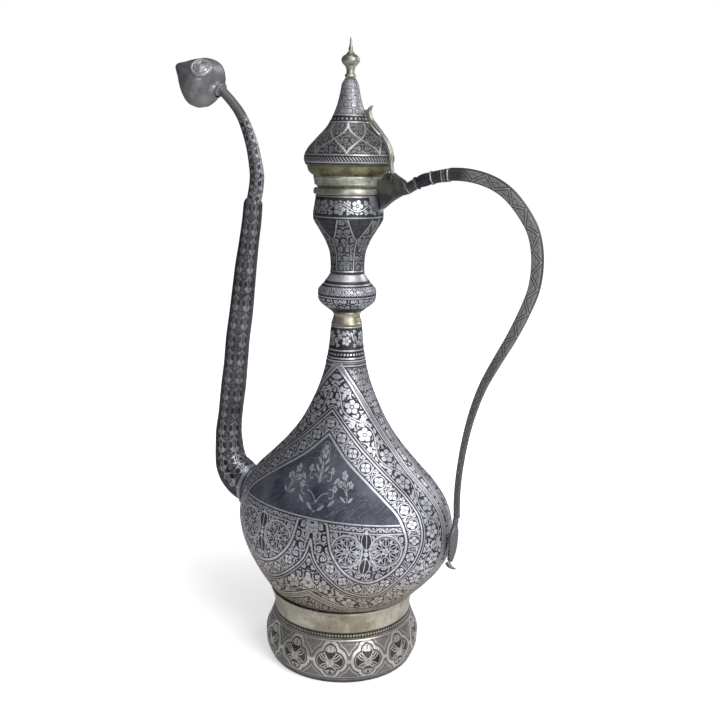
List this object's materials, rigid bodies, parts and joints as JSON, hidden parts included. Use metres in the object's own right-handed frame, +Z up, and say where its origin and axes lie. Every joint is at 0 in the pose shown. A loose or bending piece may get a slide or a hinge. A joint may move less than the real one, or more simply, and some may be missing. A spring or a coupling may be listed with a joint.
{
  "type": "ewer",
  "caption": "Ibrik ewer: pear-shaped engraved metal ewer with a flared foot, long curved spout ending in a bud, bar handle and hinged domed lid.",
  "frame": {"origin": "on the ground under the middle of the outline, between the bud's tip and the outside of the handle", "axes": "+Z up along the vessel's turning axis, -X towards the spout, +X towards the handle, +Y from front to back across the flattened body"},
  "size_m": [0.275, 0.115, 0.4205],
  "materials": {
    "engraved_metal": "tinned copper alloy, engraved, dark ground with bright lines",
    "dark_metal": "darkened copper alloy, engraved",
    "bright_metal": "tinned copper alloy, plain, worn bright",
    "gilt_metal": "plain yellow brass, tarnished",
    "olive_metal": "dark cast copper alloy, plain"
  },
  "bodies": {
    "vessel": {"foot_hem": "engraved_metal", "foot_flare": "engraved_metal", "foot_cove": "bright_metal", "body_bowl": "engraved_metal", "body_shoulder": "engraved_metal", "neck_sleeve": "engraved_metal", "neck_collar": "gilt_metal", "neck_knop": "engraved_metal", "mouth_cup": "engraved_metal", "mouth_rim": "bright_metal", "spout_ferrule": "bright_metal", "spout_lower": "dark_metal", "spout_upper": "dark_metal", "spout_tip_ring": "bright_metal", "spout_bud": "dark_metal", "spout_rosette_near": "bright_metal", "spout_rosette_far": "bright_metal", "handle_socket": "olive_metal", "handle_bead": "dark_metal", "handle_ferrule": "olive_metal", "handle_bar": "dark_metal", "handle_leaf": "dark_metal", "handle_tail": "bright_metal", "hinge_cheek_near": "olive_metal", "hinge_cheek_far": "olive_metal", "hinge_pin": "bright_metal", "hinge_tongue": "bright_metal"},
    "lid": {"lid_cove": "gilt_metal", "lid_dome": "engraved_metal", "lid_plug": "gilt_metal", "lid_finial_base": "bright_metal", "lid_finial_spike": "bright_metal", "lid_strap": "bright_metal", "lid_thumb_leaf": "bright_metal"}
  },
  "joints": [
    {"name": "lid_hinge", "type": "hinge", "parent": "vessel", "child": "lid", "pos_m": [0.0365, 0, 0.3336], "axis": [0, 1, 0], "range_deg": [0, 84]}
  ]
}
